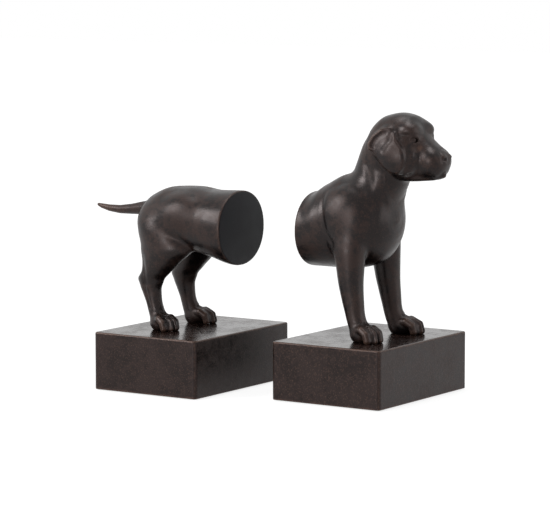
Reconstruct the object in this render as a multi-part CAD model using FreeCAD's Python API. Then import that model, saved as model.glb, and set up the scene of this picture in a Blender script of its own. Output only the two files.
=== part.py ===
import FreeCAD, Part
import math
import os

from FreeCAD import Vector

# A pair of cast-iron bookends. A standing dog is cut in two at the waist: the hind half stands on
# one block and the front half on the other, and books go between the two flat cut faces.
# Millimetres, +Z up. The origin is the middle of the rear block's underside, and the dog faces +X.

# ---- Blocks: cored iron castings that carry the two halves of the dog
BLOCK_LENGTH = 73.5        # along X, the way the dog faces
BLOCK_WIDTH = 100.5        # along Y
BLOCK_HEIGHT = 35.0        # from the table to the top face
BLOCK_CORNER = 2.5         # radius of the four upright edges
BLOCK_TOP_ROUND = 1.0      # radius round the top face
BLOCK_FOOT_ROUND = 0.6     # radius round the bottom rim
WALL = 6.5                 # side walls round the core
ROOF = 7.0                 # plate over the core
CORE_CORNER = 6.0          # radius of the core's upright edges
CORE_DRAFT = 2.0           # degrees of draft, so that the core leaves the casting

# ---- How the pair stands: spread as for a few books, one block set back from the other
BOOK_GAP = 36.7            # between the blocks' inner ends
STAGGER = 25.0             # front block further along +Y
FIGURE_SIDE = -1.5         # the dog's mid-plane from each block's mid-plane

# ---- The cut through the dog's waist
CUT_HALF_WIDTH = 24.4
CUT_HALF_HEIGHT = 22.2
CUT_CENTRE_HEIGHT = 62.2   # above the block's top face
CUT_FULLNESS = 2.1         # 2 is an ellipse, more is squarer
CUT_EDGE = 0.8             # small chamfer round the cut face

# ---- The dog's face
EYE_RADIUS = 2.7
NOSTRIL_RADIUS = 1.3
MOUTH_SLIT = 0.9           # height of the groove between lips and jaw
MOUTH_DEPTH = 1.2          # how deep it is cut

# ---- Where the legs stand, on each side of the dog's mid-plane
HIND_STANCE = 17.5
FORE_STANCE = 21.0
HIND_SCREW_X = -10.0       # leg screws, from the block's middle
FORE_SCREW_X = 7.5

# ---- Leg screws: pan-head machine screws from under the block's roof
SCREW_DIAMETER = 5.0
SCREW_BITE = 8.0           # length of screw in the leg
HOLE_SPARE = 1.5           # blind hole beyond the screw's tip
THREAD_GAP = 0.05          # between a screw and its tapped hole
CLEARANCE_GAP = 0.3        # between a screw and a plain hole
HEAD_DIAMETER = 9.5
HEAD_HEIGHT = 3.6
DRIVE_SLOT = 1.2           # width of the slot in the head
WASHER_DIAMETER = 12.0
WASHER_THICKNESS = 1.2
BOSS_DIAMETER = 15.0       # pads under the roof that the washers seat on
BOSS_HEIGHT = 3.0

# ---- Bottom cover, its four countersunk screws, and the felt glued under it
COVER_THICKNESS = 1.2
FELT_THICKNESS = 1.5
FELT_PROUD = 0.6           # felt below the iron rim, so that the rim never touches the table
REBATE_LIP = 3.0           # width of iron left outside the cover
COVER_GAP = 0.3            # cover to the sides of its rebate
FELT_INSET = 0.8           # felt's edge inside the cover's edge
POST_DIAMETER = 11.0       # corner posts that take the cover screws
POST_INSET = 11.5          # post centres from the block's sides
COVER_SCREW_DIAMETER = 4.0
COVER_SCREW_LENGTH = 10.0
COVER_HEAD_DIAMETER = 7.6
COVER_HEAD_HEIGHT = 2.0

SOLE = FELT_PROUD                                      # height of the iron rim above the table
REBATE_TOP = COVER_THICKNESS + FELT_THICKNESS          # the cover's upper face
CORE_TOP = BLOCK_HEIGHT - ROOF                         # underside of the roof
SEAT = CORE_TOP - BOSS_HEIGHT                          # where the leg screws' washers seat
CUT_X = BLOCK_LENGTH / 2.0                             # cut faces stand flush with the blocks' ends
FRONT_X = BLOCK_LENGTH + BOOK_GAP

SIDE = Vector(0, 1, 0)
FAR = 400.0                                            # larger than anything here, for cutting tools


# ---------------------------------------------------------------- shapes for the dog
# Each half is modelled on the block's top face, z = 0, with x = 0 over the block's middle.

def ring(centre, along, half_width, rise, fall, fullness=2.0, side=SIDE):
    """Smooth closed outline square to `along`; rise and fall are its reach on either side."""
    normal = Vector(*along)
    normal.normalize()
    up = normal.cross(side)
    count = 12
    points = []
    for step in range(count):
        turn = 2.0 * math.pi * step / count
        across = math.copysign(abs(math.cos(turn)) ** (2.0 / fullness), math.cos(turn))
        height = math.copysign(abs(math.sin(turn)) ** (2.0 / fullness), math.sin(turn))
        reach = rise if height > 0 else fall
        points.append(Vector(*centre) + side * (across * half_width) + up * (height * reach))
    curve = Part.BSplineCurve()
    curve.interpolate(Points=points, PeriodicFlag=True)
    return Part.Wire([curve.toShape()])


def body_along_x(stations):
    """Loft through upright rings: (x, top, bottom, half width, fullness)."""
    rings = []
    for x, top, bottom, half_width, fullness in stations:
        middle = (top + bottom) / 2.0
        rings.append(ring((x, 0, middle), (1, 0, 0), half_width, top - middle, middle - bottom, fullness))
    return Part.makeLoft(rings, True, False)


def limb(stations, stance, hand):
    """Loft down through level rings: (z, x, how far outside the stance, half length, half width)."""
    rings = []
    for z, x, y, half_length, half_width in stations:
        rings.append(ring((x, hand * (stance + y), z), (0, 0, -1), half_width, half_length, half_length))
    return Part.makeLoft(rings, True, False)


def egg(centre, reach, turn=0.0, pitch=0.0):
    """Ellipsoid with the given half sizes, pitched about Y and then turned about Z."""
    matrix = FreeCAD.Matrix()
    matrix.scale(*reach)
    solid = Part.makeSphere(1.0).transformGeometry(matrix)
    solid.rotate(Vector(0, 0, 0), Vector(0, 1, 0), pitch)
    solid.rotate(Vector(0, 0, 0), Vector(0, 0, 1), turn)
    solid.translate(Vector(*centre))
    return solid


def paw(heel_x, stance, length, width, height, splay, hand):
    """Foot with four toes, turned outwards by `splay` degrees; its edge rolls under to the block."""
    half = width / 2.0
    rings = []
    for ahead, spread, rise, roll in ((0.02, 0.40, 0.50, 0.18), (0.14, 0.74, 0.78, 0.34), (0.36, 0.92, 0.98, 0.40),
                                      (0.60, 0.94, 0.92, 0.40), (0.78, 0.80, 0.68, 0.36), (0.88, 0.56, 0.50, 0.24)):
        middle = (ahead * length, 0, height * 0.38)
        rings.append(ring(middle, (1, 0, 0), half * spread, height * (rise - 0.38), height * roll, 2.3))
    toes = []
    for aside, ahead, turn in ((-0.74, 0.70, -12.0), (-0.26, 0.76, -4.0), (0.26, 0.76, 4.0), (0.74, 0.70, 12.0)):
        middle = (ahead * length, aside * half, height * 0.42)
        toes.append(egg(middle, (length * 0.26, half * 0.34, height * 0.46), turn, 16.0))
    solid = Part.makeLoft(rings, True, False).fuse(toes)
    solid.rotate(Vector(0, 0, 0), Vector(0, 0, 1), hand * splay)
    solid.translate(Vector(heel_x, hand * stance, 0))
    return solid


def finish_figure(pieces, hole_x, stance):
    """Join the pieces, cut the paws level, drill the blind screw holes and set the figure on the block."""
    figure = pieces[0].fuse(pieces[1:])
    figure = figure.cut(Part.makeBox(FAR, FAR, FAR, Vector(-FAR / 2, -FAR / 2, -FAR)))
    for hand in (-1, 1):
        radius = SCREW_DIAMETER / 2.0 + THREAD_GAP
        figure = figure.cut(Part.makeCylinder(radius, SCREW_BITE + HOLE_SPARE, Vector(hole_x, hand * stance, 0)))
    figure.translate(Vector(0, FIGURE_SIDE, BLOCK_HEIGHT))
    return figure


def cut_station(x, shrink=0.0):
    """The dog's section at the waist, as a station for body_along_x."""
    half = CUT_HALF_HEIGHT - shrink
    return (x, CUT_CENTRE_HEIGHT + half, CUT_CENTRE_HEIGHT - half, CUT_HALF_WIDTH - shrink, CUT_FULLNESS)


# ---------------------------------------------------------------- hind half of the dog

def rear_figure():
    """Rump, loins, two hind legs and the tail, cast in one, ending at the waist cut."""
    trunk = body_along_x([
        (-32.0, 69.0, 57.0, 7.0, 2.0),
        (-29.0, 75.0, 51.0, 14.5, 2.0),
        (-22.0, 80.8, 46.0, 19.5, 2.1),
        (-10.0, 84.9, 45.5, 22.5, 2.2),
        (5.0, 85.6, 46.5, 23.3, 2.2),
        (20.0, 84.0, 44.0, 23.8, 2.2),
        cut_station(CUT_X - CUT_EDGE),
        cut_station(CUT_X, CUT_EDGE),
    ])
    pieces = [trunk, tail()]
    for hand in (-1, 1):
        pieces.append(limb([
            (73.0, -12.0, -6.5, 10.0, 6.0),
            (66.0, -12.0, -3.5, 14.5, 9.5),
            (58.0, -10.5, -2.5, 15.5, 10.4),
            (49.0, -6.9, -2.2, 17.6, 10.2),
            (40.5, -10.2, -1.1, 12.6, 8.4),
            (34.5, -13.5, -0.5, 9.7, 6.8),
            (29.5, -16.8, -0.1, 8.6, 5.7),
            (25.5, -16.8, 0.0, 7.0, 5.2),
            (21.0, -15.9, 0.0, 5.9, 4.8),
            (15.0, -14.2, 0.0, 5.0, 4.6),
            (8.5, -12.0, 0.0, 5.2, 4.8),
            (4.0, -10.6, 0.0, 5.0, 4.6),
            (0.8, -10.0, 0.0, 3.8, 3.4),
        ], HIND_STANCE, hand))
        pieces.append(egg((3.0, hand * 15.0, 69.0), (15.0, 9.0, 11.0), 0.0, -10.0))   # hip
        pieces.append(paw(HIND_SCREW_X - 5.2, HIND_STANCE, 18.8, 12.6, 11.0, 13.0, hand))
    return finish_figure(pieces, HIND_SCREW_X, HIND_STANCE)


def tail():
    """Tapered tail that leaves the croup, dips a little and lifts at the tip."""
    rings = []
    for x, z, radius in ((-26.0, 71.0, 5.2), (-34.0, 70.4, 4.0), (-43.0, 69.3, 3.2), (-52.0, 68.6, 2.6),
                         (-60.0, 69.0, 2.1), (-66.0, 70.0, 1.5), (-69.6, 70.9, 0.7)):
        rings.append(ring((x, 0, z), (-1, 0, 0), radius, radius, radius))
    return Part.makeLoft(rings, True, False)


# ---------------------------------------------------------------- front half of the dog

def front_figure():
    """Ribs, shoulders, neck, head and two fore legs, cast in one, starting at the waist cut."""
    trunk = body_along_x([
        cut_station(-CUT_X, CUT_EDGE),
        cut_station(-CUT_X + CUT_EDGE),
        (-25.0, 90.0, 40.0, 25.2, 2.1),
        (-12.0, 95.8, 39.8, 25.3, 2.1),
        (0.0, 96.0, 41.5, 24.6, 2.1),
        (9.0, 93.0, 45.0, 21.5, 2.0),
        (15.0, 87.0, 52.5, 15.5, 2.0),
        (18.0, 78.0, 62.0, 7.5, 2.0),
    ])
    pieces = [trunk, neck(), head()]
    for hand in (-1, 1):
        pieces.append(ear(hand))
        pieces.append(limb([
            (89.0, -3.0, -10.0, 7.0, 5.0),
            (79.0, -4.0, -6.0, 12.0, 8.0),
            (67.0, -3.5, -4.0, 13.5, 9.4),
            (55.0, -2.2, -2.2, 11.3, 9.2),
            (45.0, -0.6, -0.8, 8.8, 8.0),
            (34.0, 0.3, -0.2, 7.6, 7.0),
            (23.0, 2.0, 0.0, 6.6, 6.0),
            (15.0, 3.6, 0.0, 5.9, 5.6),
            (8.5, 5.8, 0.0, 6.0, 5.8),
            (4.0, 7.4, 0.0, 5.6, 5.2),
            (0.8, 8.0, 0.0, 4.2, 3.8),
        ], FORE_STANCE, hand))
        pieces.append(egg((-1.0, hand * 16.0, 73.0), (9.5, 9.6, 15.0), 0.0, -8.0))   # shoulder
        pieces.append(paw(FORE_SCREW_X - 5.5, FORE_STANCE, 21.0, 13.4, 11.8, 12.0, hand))
    return finish_figure(pieces, FORE_SCREW_X, FORE_STANCE)


def neck():
    """Neck that rises from the withers, leaning forwards."""
    rings = []
    for x, z, half_width, back, front in ((-4.0, 71.0, 20.0, 17.0, 18.0), (2.0, 84.0, 18.6, 18.5, 19.0),
                                          (6.6, 95.0, 15.6, 16.4, 19.4), (8.6, 105.0, 14.4, 14.4, 18.0),
                                          (11.4, 114.0, 13.6, 13.2, 14.0), (15.0, 121.0, 12.0, 11.4, 11.4)):
        rings.append(ring((x, 0, z), (0.3, 0, 1), half_width, back, front))
    return Part.makeLoft(rings, True, False)


# The muzzle's sections, as stations for body_along_x
MUZZLE = [
    (43.1, 116.6, 94.8, 10.4, 2.5),
    (48.1, 113.4, 96.1, 9.6, 2.5),
    (51.5, 111.0, 98.5, 7.8, 2.4),
    (53.2, 108.2, 102.3, 4.4, 2.2),
]


def head():
    """Skull and muzzle in one loft from the nape to the nose, with brows, lips, eyes, nose and mouth."""
    skull = body_along_x([
        (2.8, 120.0, 105.0, 7.0, 2.0),
        (6.4, 126.2, 98.0, 12.5, 2.1),
        (14.0, 131.2, 94.2, 16.0, 2.2),
        (23.0, 133.2, 93.3, 16.8, 2.3),
        (30.5, 131.8, 93.3, 15.6, 2.3),
        (35.3, 127.8, 93.7, 13.0, 2.3),
        (38.4, 121.2, 94.2, 11.2, 2.4),
    ] + MUZZLE)
    lumps = [egg((49.6, 0, 109.1), (4.0, 5.1, 3.7), 0.0, 20.0)]                      # nose pad
    hollows = [mouth()]
    eyes = []
    for hand in (-1, 1):
        lumps.append(egg((33.4, hand * 8.4, 123.8), (5.2, 5.6, 4.2), 0.0, 25.0))     # brow
        lumps.append(egg((44.3, hand * 5.8, 105.8), (7.8, 5.2, 6.8), hand * 10.0))   # upper lip
        hollows.append(egg((37.6, hand * 12.2, 117.9), (4.0, 3.0, EYE_RADIUS + 0.2)))
        hollows.append(egg((53.6, hand * 2.8, 106.6), (1.7, NOSTRIL_RADIUS, NOSTRIL_RADIUS)))
        eyes.append(egg((34.9, hand * 8.8, 117.8), (EYE_RADIUS + 0.6, EYE_RADIUS + 0.3, EYE_RADIUS)))
    return skull.fuse(lumps).cut(hollows).fuse(eyes)


def mouth():
    """Groove round the muzzle between the lips and the jaw: a curved slice less the muzzle's core."""
    edges = []
    for rise in (MOUTH_SLIT / 2.0, -MOUTH_SLIT / 2.0):
        line = Part.BSplineCurve()
        line.interpolate([Vector(x, -20.0, z + rise) for x, z in ((35.0, 98.4), (38.5, 96.9), (44.0, 96.7),
                                                                   (50.0, 97.4), (58.0, 99.0))])
        edges.append(line.toShape())
    ends = [Part.makeLine(edges[0].Vertexes[k].Point, edges[1].Vertexes[k].Point) for k in (0, 1)]
    outline = Part.Wire([edges[0], ends[1], edges[1], ends[0]])
    slice_through = Part.Face(outline).extrude(Vector(0, 40.0, 0))
    core = body_along_x([(30.0, 115.0, 95.0, 11.0, 2.4)] + [
        (x, top - MOUTH_DEPTH, bottom + MOUTH_DEPTH, half_width - MOUTH_DEPTH, fullness)
        for x, top, bottom, half_width, fullness in MUZZLE[:3]])
    return slice_through.cut(core)


def ear(hand):
    """Pendant ear: a thin flap that hangs from the side of the skull and tapers to a round tip."""
    rings = []
    for z, x, y, half_length, half_thickness in ((126.0, 18.5, 12.5, 4.0, 2.2), (121.5, 19.0, 15.6, 7.6, 2.8),
                                                 (115.0, 19.6, 17.2, 9.2, 2.9), (108.5, 22.6, 17.8, 9.4, 2.8),
                                                 (103.0, 25.6, 17.8, 8.4, 2.6), (99.0, 27.6, 17.4, 6.2, 2.2),
                                                 (97.3, 28.4, 17.1, 3.0, 1.2)):
        rings.append(ring((x, hand * y, z), (0, 0, -1), half_thickness, half_length, half_length))
    return Part.makeLoft(rings, True, False)


# ---------------------------------------------------------------- block and what holds it together

def rounded_slab(length, width, corner, bottom, top):
    """Upright prism on a rectangle with round corners, centred on the Z axis."""
    box = Part.makeBox(length, width, top - bottom, Vector(-length / 2.0, -width / 2.0, bottom))
    upright = [edge for edge in box.Edges if abs(edge.tangentAt(edge.FirstParameter).z) > 0.99]
    return box.makeFillet(corner, upright)


def level_edges(solid, height):
    """Edges of a solid that lie in the level plane at `height`."""
    found = []
    for edge in solid.Edges:
        box = edge.BoundBox
        if abs(box.ZMin - height) < 1e-6 and abs(box.ZMax - height) < 1e-6:
            found.append(edge)
    return found


def post_places():
    """Centres of the four corner posts."""
    x = BLOCK_LENGTH / 2.0 - POST_INSET
    y = BLOCK_WIDTH / 2.0 - POST_INSET
    return [Vector(i * x, j * y, 0) for i in (-1, 1) for j in (-1, 1)]


def leg_places(screw_x, stance):
    """Centres of the two leg screws on one block."""
    return [Vector(screw_x, FIGURE_SIDE + hand * stance, 0) for hand in (-1, 1)]


def core(length, width):
    """Tapered core that hollows the block from below."""
    bottom = rounded_slab(length, width, CORE_CORNER, REBATE_TOP, REBATE_TOP + 1.0)
    draw_in = 2.0 * (CORE_TOP - REBATE_TOP) * math.tan(math.radians(CORE_DRAFT))
    wide = bottom.section(Part.makePlane(FAR, FAR, Vector(-FAR / 2, -FAR / 2, REBATE_TOP)))
    top = rounded_slab(length - draw_in, width - draw_in, CORE_CORNER, CORE_TOP - 1.0, CORE_TOP)
    narrow = top.section(Part.makePlane(FAR, FAR, Vector(-FAR / 2, -FAR / 2, CORE_TOP)))
    wires = [Part.Wire(Part.__sortEdges__(cut.Edges)) for cut in (wide, narrow)]
    return Part.makeLoft(wires, True, True)


def block(screw_x, stance):
    """Iron block: cored from below, with pads for the leg screws and posts for the cover screws."""
    solid = rounded_slab(BLOCK_LENGTH, BLOCK_WIDTH, BLOCK_CORNER, SOLE, BLOCK_HEIGHT)
    solid = solid.makeFillet(BLOCK_TOP_ROUND, level_edges(solid, BLOCK_HEIGHT))
    solid = solid.makeFillet(BLOCK_FOOT_ROUND, level_edges(solid, SOLE))
    hollow = core(BLOCK_LENGTH - 2 * WALL, BLOCK_WIDTH - 2 * WALL)
    for place in post_places():
        hollow = hollow.cut(Part.makeCylinder(POST_DIAMETER / 2.0, BLOCK_HEIGHT, place))
    for place in leg_places(screw_x, stance):
        pad = Part.makeCylinder(BOSS_DIAMETER / 2.0, BLOCK_HEIGHT, place + Vector(0, 0, SEAT))
        hollow = hollow.cut(pad)
    solid = solid.cut(hollow)
    rebate = rounded_slab(BLOCK_LENGTH - 2 * REBATE_LIP, BLOCK_WIDTH - 2 * REBATE_LIP, BLOCK_CORNER,
                          SOLE - 1.0, REBATE_TOP)
    solid = solid.cut(rebate)
    for place in leg_places(screw_x, stance):
        hole = Part.makeCylinder(SCREW_DIAMETER / 2.0 + CLEARANCE_GAP, BLOCK_HEIGHT, place)
        solid = solid.cut(hole)
    for place in post_places():
        radius = COVER_SCREW_DIAMETER / 2.0 + THREAD_GAP
        depth = COVER_SCREW_LENGTH - COVER_THICKNESS + HOLE_SPARE
        solid = solid.cut(Part.makeCylinder(radius, depth, place + Vector(0, 0, REBATE_TOP)))
    return solid


def leg_screws(screw_x, stance):
    """Two slotted pan-head screws that pull the legs down on the block."""
    screws = []
    radius = SCREW_DIAMETER / 2.0
    underside = SEAT - WASHER_THICKNESS
    for place in leg_places(screw_x, stance):
        shank = Part.makeCylinder(radius, BLOCK_HEIGHT + SCREW_BITE - underside, place + Vector(0, 0, underside))
        tip = shank.Edges[0] if shank.Edges[0].BoundBox.ZMin > underside + 1 else shank.Edges[2]
        shank = shank.makeChamfer(0.6, [tip])
        head = Part.makeCylinder(HEAD_DIAMETER / 2.0, HEAD_HEIGHT, place + Vector(0, 0, underside - HEAD_HEIGHT))
        head = head.makeFillet(1.2, level_edges(head, underside - HEAD_HEIGHT))
        slot = Part.makeBox(HEAD_DIAMETER + 2, DRIVE_SLOT, HEAD_HEIGHT * 0.45,
                            place + Vector(-HEAD_DIAMETER / 2.0 - 1, -DRIVE_SLOT / 2.0, underside - HEAD_HEIGHT))
        screws.append(shank.fuse(head).cut(slot).removeSplitter())
    return screws


def leg_washers(screw_x, stance):
    """Two plain washers between the screw heads and the pads."""
    washers = []
    for place in leg_places(screw_x, stance):
        start = place + Vector(0, 0, SEAT - WASHER_THICKNESS)
        disc = Part.makeCylinder(WASHER_DIAMETER / 2.0, WASHER_THICKNESS, start)
        washers.append(disc.cut(Part.makeCylinder(SCREW_DIAMETER / 2.0 + CLEARANCE_GAP, WASHER_THICKNESS, start)))
    return washers


def cover():
    """Sheet-steel plate in the block's rebate, dimpled round four countersunk holes."""
    length = BLOCK_LENGTH - 2 * (REBATE_LIP + COVER_GAP)
    width = BLOCK_WIDTH - 2 * (REBATE_LIP + COVER_GAP)
    plate = rounded_slab(length, width, BLOCK_CORNER, REBATE_TOP - COVER_THICKNESS, REBATE_TOP)
    for place in post_places():
        plate = plate.cut(countersink(place, THREAD_GAP))
    return plate


def countersink(place, gap):
    """Flat-head screw form, from the cover's lower face upwards, grown by `gap`."""
    low = REBATE_TOP - COVER_THICKNESS
    shank = COVER_SCREW_DIAMETER / 2.0 + gap
    rim = COVER_HEAD_DIAMETER / 2.0 + gap
    cone_height = min(COVER_HEAD_HEIGHT, COVER_THICKNESS * 0.9)
    cone = Part.makeCone(rim, shank, cone_height, place + Vector(0, 0, low))
    return cone.fuse(Part.makeCylinder(shank, COVER_SCREW_LENGTH, place + Vector(0, 0, low))).removeSplitter()


def cover_screws():
    """Four slotted countersunk screws, flush with the cover."""
    screws = []
    low = REBATE_TOP - COVER_THICKNESS
    for place in post_places():
        slot = Part.makeBox(COVER_HEAD_DIAMETER + 2, 0.9, 0.6, place + Vector(-COVER_HEAD_DIAMETER / 2.0 - 1, -0.45, low))
        screws.append(countersink(place, 0.0).cut(slot))
    return screws


def felt():
    """Felt pad glued under the cover; the bookend stands on it."""
    edge = REBATE_LIP + COVER_GAP + FELT_INSET
    return rounded_slab(BLOCK_LENGTH - 2 * edge, BLOCK_WIDTH - 2 * edge, BLOCK_CORNER, 0.0, FELT_THICKNESS)


# ---------------------------------------------------------------- the two bookends

def write(name, solids, shift):
    """Move the solids to their bookend and write them as one STEP file."""
    moved = []
    for solid in solids:
        copy = solid.copy()
        copy.translate(shift)
        moved.append(copy)
    shape = moved[0] if len(moved) == 1 else Part.makeCompound(moved)
    shape.exportStep("parts/" + name + ".step")


os.makedirs("parts", exist_ok=True)
BOOKENDS = (
    ("rear", rear_figure, HIND_SCREW_X, HIND_STANCE, Vector(0, 0, 0)),
    ("front", front_figure, FORE_SCREW_X, FORE_STANCE, Vector(FRONT_X, STAGGER, 0)),
)
for end, figure, screw_x, stance, shift in BOOKENDS:
    write(end + "_figure", [figure()], shift)
    write(end + "_block", [block(screw_x, stance)], shift)
    write(end + "_leg_screws", leg_screws(screw_x, stance), shift)
    write(end + "_leg_washers", leg_washers(screw_x, stance), shift)
    write(end + "_cover", [cover()], shift)
    write(end + "_cover_screws", cover_screws(), shift)
    write(end + "_felt", [felt()], shift)
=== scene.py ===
import math

import bpy
import numpy as np
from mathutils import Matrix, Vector


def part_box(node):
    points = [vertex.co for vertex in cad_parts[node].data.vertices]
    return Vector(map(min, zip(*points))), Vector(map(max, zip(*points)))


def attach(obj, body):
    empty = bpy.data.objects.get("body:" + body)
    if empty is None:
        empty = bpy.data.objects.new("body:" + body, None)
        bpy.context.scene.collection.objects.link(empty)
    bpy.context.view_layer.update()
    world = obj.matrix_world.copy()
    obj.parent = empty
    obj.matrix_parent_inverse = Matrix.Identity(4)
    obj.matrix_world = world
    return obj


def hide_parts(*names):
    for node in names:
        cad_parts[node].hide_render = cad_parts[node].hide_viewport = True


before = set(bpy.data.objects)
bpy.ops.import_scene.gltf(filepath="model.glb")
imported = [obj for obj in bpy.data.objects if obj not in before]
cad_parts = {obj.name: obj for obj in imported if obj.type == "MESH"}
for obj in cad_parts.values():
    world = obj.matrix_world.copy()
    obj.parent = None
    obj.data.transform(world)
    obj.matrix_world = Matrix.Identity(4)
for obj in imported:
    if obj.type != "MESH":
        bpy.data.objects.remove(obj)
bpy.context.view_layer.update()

# ============================================================ hind half of the dog
# One iron casting, poured in sand and filed smooth: rump, loins, two hind legs and a tail. It ends
# at the waist in a flat ground face. Its paws stand on the block, held by screws from inside it.
# The skin is a dark brown patina under wax, rubbed warm where hands touch it, black in the hollows.
# On sharp edges, such as the rim of the ground face, the warm bare colour is also a painted highlight.

MM = 0.001
BLOCK_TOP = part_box("rear_block")[1].z / MM
CUT_X = (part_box("rear_block")[1].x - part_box("rear_block")[0].x) / 2 / MM   # the waist ends where the block ends
PAST_CUT = 4                 # how far a form runs on past the waist before it is cut off, mm
CUT_RIM = 0.8                # rounding round the ground face, mm
SOLE_RIM = 0.3               # rounding round the flat soles, mm
GRAIN = 0.5                  # mesh grain, mm
OPEN_AIR = 12.0              # distance to the skin while nothing is modelled yet, mm


def glide(at, knots, values):
    """Smooth curve through the knots that never overshoots them."""
    knots, values = np.asarray(knots, float), np.asarray(values, float)
    gap = np.diff(knots)
    rise = np.diff(values) / gap
    tangent = np.empty_like(values)
    tangent[0], tangent[-1] = rise[0], rise[-1]
    same_way = rise[:-1] * rise[1:] > 0
    mean = 2.0 * rise[:-1] * rise[1:] / np.where(same_way, rise[:-1] + rise[1:], 1.0)
    tangent[1:-1] = np.where(same_way, mean, 0.0)
    at = np.clip(at, knots[0], knots[-1])
    left = np.clip(np.searchsorted(knots, at) - 1, 0, len(gap) - 1)
    step = gap[left]
    t = (at - knots[left]) / step
    return (values[left] * (1 + 2 * t) * (1 - t) ** 2 + values[left + 1] * t * t * (3 - 2 * t)
            + step * t * (1 - t) * (tangent[left] * (1 - t) - tangent[left + 1] * t))


class Clay:
    """Space round a figure, as distances in millimetres to its skin. Both sides are alike, so only
    the side with y >= 0 is kept, and the other is its mirror image."""

    def __init__(self, flat_end, low, high):
        def steps(a, b, flat):      # a flat face falls midway between two steps
            return flat + GRAIN * (np.arange(round((a - flat) / GRAIN), round((b - flat) / GRAIN)) + 0.5)

        self.axes = [steps(low[0], high[0], flat_end), np.arange(0.0, high[1], GRAIN),
                     steps(low[2], high[2], BLOCK_TOP)]
        self.depth = np.full([len(a) for a in self.axes], OPEN_AIR)

    def window(self, low, high, pad):
        """The part of the space between two corners, `pad` wider all round, and its coordinates."""
        part = []
        for axis, a, b in zip(self.axes, low, high):
            first = max(int(np.searchsorted(axis, a - pad)), 0)
            part.append(slice(first, max(int(np.searchsorted(axis, b + pad)), first + 2)))
        spots = np.meshgrid(*[axis[s] for axis, s in zip(self.axes, part)], indexing="ij", sparse=True)
        return tuple(part), spots

    def even(self, level):
        """Turns any smooth level function into distances near its zero surface. The slope is held above
        0.35, so that nearly level spots stay finite."""
        slope = np.gradient(level, GRAIN)
        return level / np.maximum(np.sqrt(slope[0] ** 2 + slope[1] ** 2 + slope[2] ** 2), 0.35)

    def join(self, part, new, blend):
        """Adds a form, with a smooth fillet."""
        old = self.depth[part]
        mix = np.clip(0.5 + 0.5 * (old - new) / blend, 0, 1)
        self.depth[part] = old + (new - old) * mix - blend * mix * (1 - mix)

    def carve(self, part, new, blend):
        """Takes a form away, with a smooth edge."""
        old = self.depth[part]
        mix = np.clip(0.5 - 0.5 * (old + new) / blend, 0, 1)
        self.depth[part] = old - (new + old) * mix + blend * mix * (1 - mix)

    def trunk(self, stations, blend):
        """Body along X through upright sections: (x, top, bottom, half width, fullness)."""
        s = np.array(stations, float)
        low, high = (s[0, 0], 0, s[:, 2].min()), (s[-1, 0], s[:, 3].max(), s[:, 1].max())
        part, (x, y, z) = self.window(low, high, blend + 3)
        top, bottom, half, full = [glide(x, s[:, 0], s[:, i]) for i in (1, 2, 3, 4)]
        middle, tall = (top + bottom) / 2, (top - bottom) / 2
        level = (np.abs(y / half) ** full + np.abs((z - middle) / tall) ** full) ** (1 / full) - 1
        level = level * np.minimum(half, tall)
        past = np.abs(x - np.clip(x, s[0, 0], s[-1, 0]))
        level = np.where(past > 0, np.hypot(np.maximum(level, 0), past), level)
        self.join(part, self.even(level), blend)

    def limb(self, stations, blend):
        """Leg or neck through level sections: (z, x, y, half length, half width)."""
        s = np.array(sorted(stations), float)
        low = ((s[:, 1] - s[:, 3]).min(), (s[:, 2] - s[:, 4]).min(), s[0, 0])
        high = ((s[:, 1] + s[:, 3]).max(), (s[:, 2] + s[:, 4]).max(), s[-1, 0])
        part, (x, y, z) = self.window(low, high, blend + 3)
        ahead, aside, long, wide = [glide(z, s[:, 0], s[:, i]) for i in (1, 2, 3, 4)]
        level = (np.hypot((x - ahead) / long, (y - aside) / wide) - 1) * np.minimum(long, wide)
        past = np.abs(z - np.clip(z, s[0, 0], s[-1, 0]))
        level = np.where(past > 0, np.hypot(np.maximum(level, 0), past), level)
        self.join(part, self.even(level), blend)

    def along(self, spots, points, radii):
        """Distance to a chain of round cones through the points."""
        x, y, z = spots
        best = np.inf
        for a, b, ra, rb in zip(points[:-1], points[1:], radii[:-1], radii[1:]):
            a, d = np.array(a, float), np.subtract(b, a).astype(float)
            t = np.clip(((x - a[0]) * d[0] + (y - a[1]) * d[1] + (z - a[2]) * d[2]) / (d @ d), 0, 1)
            far = np.sqrt((x - a[0] - t * d[0]) ** 2 + (y - a[1] - t * d[1]) ** 2 + (z - a[2] - t * d[2]) ** 2)
            best = np.minimum(best, far - (ra + (rb - ra) * t))
        return best

    def cord(self, points, radii, blend):
        """Round tapering form along a line, such as a tail, a toe or a tendon."""
        p = np.array(points, float)
        part, spots = self.window(p.min(0) - max(radii), p.max(0) + max(radii), blend + 2)
        self.join(part, self.along(spots, points, radii), blend)

    def lump(self, spots, centre, reach, turn, pitch):
        """Distance to a stretched ball."""
        x, y, z = [s - c for s, c in zip(spots, centre)]
        c, s = math.cos(math.radians(turn)), math.sin(math.radians(turn))
        x, y = x * c + y * s, -x * s + y * c
        c, s = math.cos(math.radians(pitch)), math.sin(math.radians(pitch))
        x, z = x * c - z * s, x * s + z * c
        a, b, d = reach
        ratio = np.sqrt((x / a) ** 2 + (y / b) ** 2 + (z / d) ** 2)
        steep = np.sqrt((x / a ** 2) ** 2 + (y / b ** 2) ** 2 + (z / d ** 2) ** 2)
        return ratio * (ratio - 1) / np.maximum(steep, 1e-4)

    def egg(self, centre, reach, blend, turn=0.0, pitch=0.0):
        """Rounded lump, pitched nose-down and then turned outwards."""
        part, spots = self.window(np.array(centre) - max(reach), np.array(centre) + max(reach), blend + 2)
        self.join(part, self.lump(spots, centre, reach, turn, pitch), blend)

    def scoop(self, centre, reach, blend, turn=0.0, pitch=0.0):
        """Rounded hollow."""
        part, spots = self.window(np.array(centre) - max(reach), np.array(centre) + max(reach), blend + 2)
        self.carve(part, self.lump(spots, centre, reach, turn, pitch), blend)

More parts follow.
